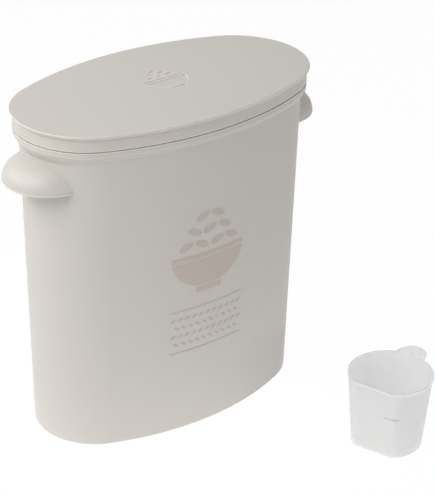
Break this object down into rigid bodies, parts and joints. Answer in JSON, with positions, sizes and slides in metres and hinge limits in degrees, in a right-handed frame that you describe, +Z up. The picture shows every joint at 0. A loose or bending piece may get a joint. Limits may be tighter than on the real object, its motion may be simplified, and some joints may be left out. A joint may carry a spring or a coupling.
{
  "type": "rice bin with flip lid",
  "caption": "Oval kitchen bin for dry rice, with wing handles, a lift-off lid collar, a flip panel hinged at the back and a measuring cup beside it.",
  "frame": {"origin": "the middle of the bin's underside, on the surface that it stands on", "axes": "+X runs along the bin towards the end that the cup stands near, -Y is the front, +Z is up"},
  "size_m": [0.3138, 0.307, 0.3],
  "materials": {
    "tub": "fine matte, warm grey-beige",
    "lid": "fine matte, warm grey-beige",
    "seal": "pale translucent silicone",
    "pin": "plain drawn wire",
    "cup": "clear to milky moulded plastic"
  },
  "bodies": {
    "bin": {"bin_body": "tub"},
    "collar": {"lid_collar": "lid", "rim_seal": "seal", "hinge_pin_left": "pin", "hinge_pin_right": "pin"},
    "panel": {"flip_panel": "lid", "panel_gasket": "seal"},
    "cup": {"measuring_cup": "cup"}
  },
  "joints": [
    {"name": "collar_lift", "type": "slide", "parent": "bin", "child": "collar", "axis": [0, 0, 1], "range_m": [0, 0.06]},
    {"name": "panel_hinge", "type": "hinge", "parent": "collar", "child": "panel", "pos_m": [0, 0.0743, 0.2917], "axis": [-1, 0, 0], "range_deg": [0, 100]},
    {"name": "cup_lift", "type": "slide", "parent": "bin", "child": "cup", "axis": [0, 0, 1], "range_m": [0, 0.1]}
  ]
}
